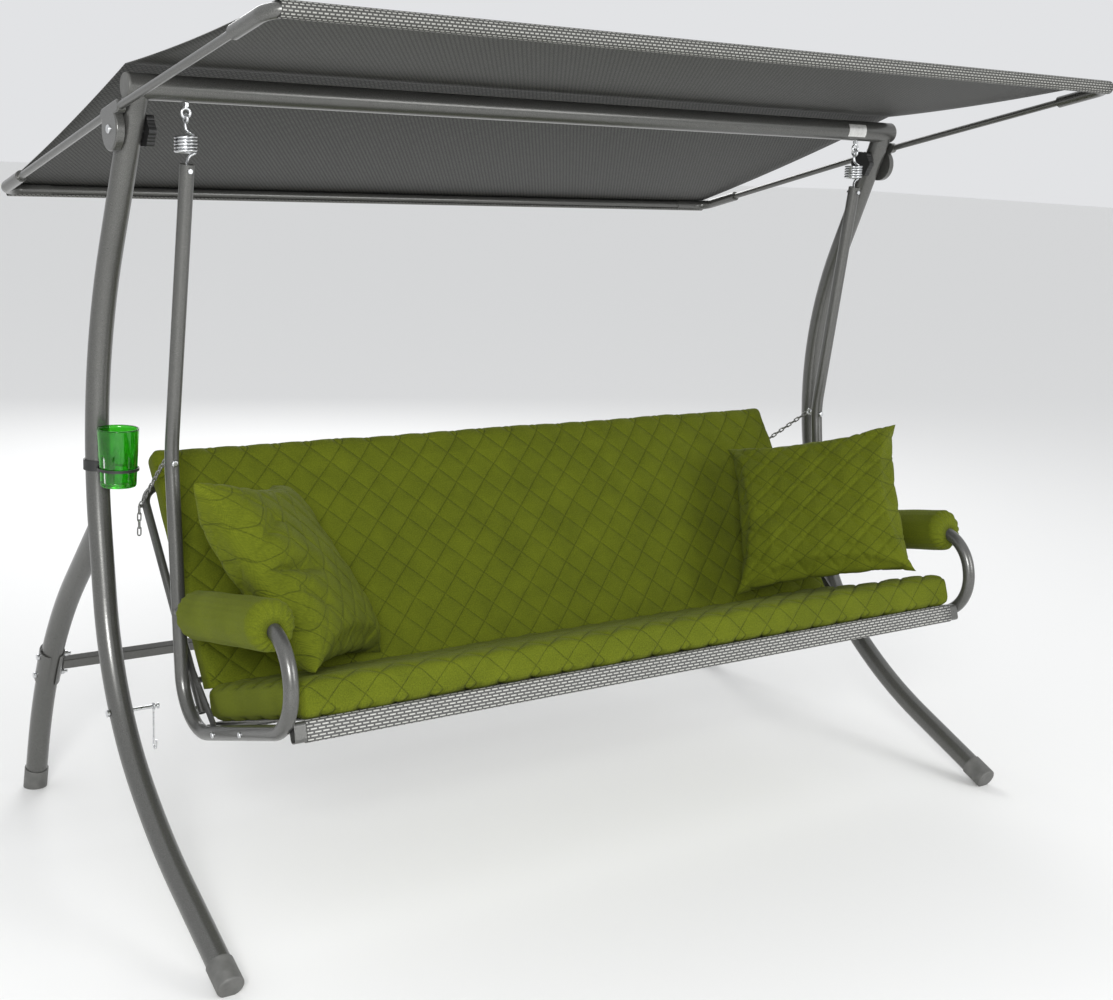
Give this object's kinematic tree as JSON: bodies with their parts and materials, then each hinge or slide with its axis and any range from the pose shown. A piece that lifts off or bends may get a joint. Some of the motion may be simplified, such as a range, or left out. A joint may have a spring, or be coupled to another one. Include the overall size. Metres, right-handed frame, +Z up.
{
  "type": "canopy swing bench",
  "caption": "Garden swing seat hung by springs from a bowed tubular stand, with a tilting cloth canopy, quilted cushions, bolsters on the armrests and a cup holder.",
  "frame": {"origin": "on the floor, under the middle of the canopy's outline", "axes": "+X to the right-hand end as seen from the front, +Y to the rear, +Z up"},
  "size_m": [2.1638, 1.495, 1.8045],
  "materials": {
    "frame_paint": "hammered dark grey powder coat",
    "zinc_steel": "bright zinc plate",
    "black_plastic": "satin moulded",
    "grey_plastic": "satin moulded",
    "canopy_cloth": "fine ribbed weave",
    "seat_sling": "coated mesh with a pale dash pattern",
    "cushion_cloth": "quilted olive green weave",
    "silver_label": "blank silver foil",
    "tumbler_plastic": "clear moulded, fluted"
  },
  "bodies": {
    "stand": {"top_crossbar": "frame_paint", "crossbar_end_caps": "grey_plastic", "left_front_leg": "frame_paint", "right_front_leg": "frame_paint", "left_rear_leg": "frame_paint", "right_rear_leg": "frame_paint", "foot_caps": "grey_plastic", "rear_cross_member": "frame_paint", "cross_member_brackets": "frame_paint", "cross_member_bolts": "zinc_steel", "lock_pins": "zinc_steel", "swing_hooks": "zinc_steel", "cup_holder": "black_plastic", "rating_label": "silver_label", "canopy_pivot_bolts": "zinc_steel"},
    "canopy": {"canopy_corner_elbows": "frame_paint", "canopy_fabric": "canopy_cloth", "canopy_front_rod": "frame_paint", "canopy_rear_rod": "frame_paint", "left_canopy_front_arm": "frame_paint", "right_canopy_front_arm": "frame_paint", "left_canopy_rear_arm": "frame_paint", "right_canopy_rear_arm": "frame_paint", "left_pivot_disc": "frame_paint", "right_pivot_disc": "frame_paint"},
    "left_knob": {"left_clamp_knob": "black_plastic"},
    "right_knob": {"right_clamp_knob": "black_plastic"},
    "suspension": {"left_spring": "zinc_steel", "right_spring": "zinc_steel"},
    "bench": {"left_upper_hanger": "frame_paint", "right_upper_hanger": "frame_paint", "left_side_loop": "frame_paint", "right_side_loop": "frame_paint", "hanger_spigots": "frame_paint", "hanger_pins": "zinc_steel", "hanger_bolts": "zinc_steel", "gusset_bars": "frame_paint", "seat_front_rail": "frame_paint", "seat_rear_rail": "frame_paint", "seat_side_rails": "frame_paint", "rail_screws": "zinc_steel", "seat_mesh": "seat_sling", "seat_cushion": "cushion_cloth", "left_arm_roll": "cushion_cloth", "right_arm_roll": "cushion_cloth", "backrest_hinge_pins": "zinc_steel"},
    "backrest": {"backrest_frame": "frame_paint", "backrest_lower_bar": "frame_paint", "backrest_mesh": "seat_sling", "back_cushion": "cushion_cloth", "chain_studs": "zinc_steel", "left_recline_chain": "zinc_steel", "right_recline_chain": "zinc_steel"},
    "left_pillow": {"left_pillow": "cushion_cloth"},
    "right_pillow": {"right_pillow": "cushion_cloth"},
    "left_lock_hook": {"left_lock_hook": "zinc_steel"},
    "right_lock_hook": {"right_lock_hook": "zinc_steel"},
    "tumbler": {"tumbler": "tumbler_plastic"}
  },
  "joints": [
    {"name": "canopy_tilt", "type": "hinge", "parent": "stand", "child": "canopy", "pos_m": [0, -0.007, 1.586], "axis": [1, 0, 0], "range_deg": [-10, 10]},
    {"name": "left_knob_turn", "type": "hinge", "parent": "canopy", "child": "left_knob", "pos_m": [-1, -0.007, 1.586], "axis": [1, 0, 0], "continuous": true},
    {"name": "right_knob_turn", "type": "hinge", "parent": "canopy", "child": "right_knob", "pos_m": [1, -0.007, 1.586], "axis": [1, 0, 0], "continuous": true},
    {"name": "swing", "type": "hinge", "parent": "stand", "child": "suspension", "pos_m": [0, -0.043, 1.616], "axis": [1, 0, 0], "range_deg": [-18, 18]},
    {"name": "spring_stretch", "type": "slide", "parent": "suspension", "child": "bench", "axis": [0, 0, 1], "range_m": [-0.035, 0], "stiffness_N_per_m": 80000, "springref_m": 0.006, "deforming": ["left_spring", "right_spring"]},
    {"name": "recline", "type": "hinge", "parent": "bench", "child": "backrest", "pos_m": [0, -0.055, 0.38], "axis": [-1, 0, 0], "range_deg": [0, 10], "deforming": ["left_recline_chain", "right_recline_chain"]},
    {"name": "left_pillow_lift", "type": "slide", "parent": "bench", "child": "left_pillow", "axis": [0, 0, 1], "range_m": [0, 0.25]},
    {"name": "right_pillow_lift", "type": "slide", "parent": "bench", "child": "right_pillow", "axis": [0, 0, 1], "range_m": [0, 0.25]},
    {"name": "left_lock_swing", "type": "hinge", "parent": "stand", "child": "left_lock_hook", "pos_m": [-0.976, 0.01326, 0.374], "axis": [1, 0, 0], "range_deg": [-100, 100]},
    {"name": "right_lock_swing", "type": "hinge", "parent": "stand", "child": "right_lock_hook", "pos_m": [0.976, 0.01326, 0.374], "axis": [1, 0, 0], "range_deg": [-100, 100]},
    {"name": "tumbler_lift", "type": "slide", "parent": "stand", "child": "tumbler", "axis": [0, -0.0593, 0.9982], "range_m": [0, 0.14]}
  ]
}
